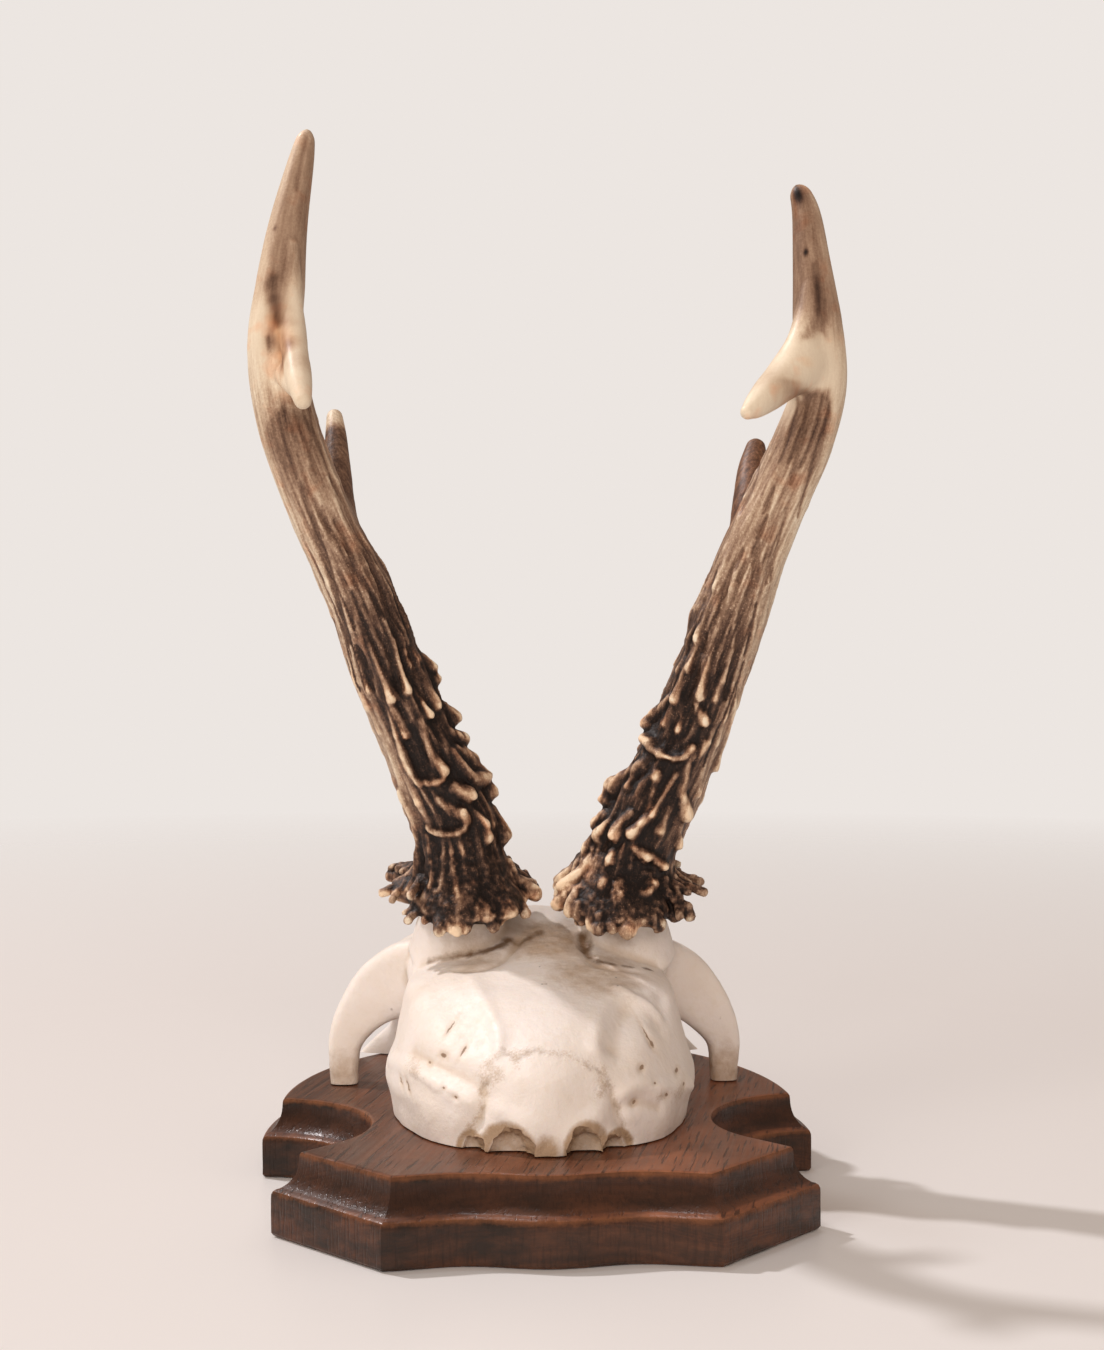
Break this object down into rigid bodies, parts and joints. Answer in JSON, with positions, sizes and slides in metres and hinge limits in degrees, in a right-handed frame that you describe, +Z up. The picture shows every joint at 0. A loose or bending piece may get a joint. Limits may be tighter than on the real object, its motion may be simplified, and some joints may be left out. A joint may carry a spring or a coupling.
{
  "type": "mounted roe deer antlers",
  "caption": "Roe buck antlers with burrs and tines on a bleached skull cap, fixed to a shield-shaped plaque of dark stained wood with a moulded edge.",
  "frame": {"origin": "on the plaque's underside, below the middle of the braincase", "axes": "+X to the right of someone standing behind the skull, +Y along the muzzle, +Z up the antlers"},
  "size_m": [0.1266, 0.1452, 0.2253],
  "materials": {
    "stained_wood": "gloss lacquer over dark stain, rubbed lighter on the edges",
    "bone": "bleached bone, satin",
    "left_horn": "dark brown antler with pale ridges and pearls",
    "right_horn": "dark brown antler with pale ridges and pearls"
  },
  "bodies": {
    "root": {"plaque": "stained_wood", "skull_cap": "bone", "left_beam": "left_horn", "left_rear_tine": "left_horn", "left_front_tine": "left_horn", "right_beam": "right_horn", "right_rear_tine": "right_horn", "right_front_tine": "right_horn"}
  },
  "joints": []
}
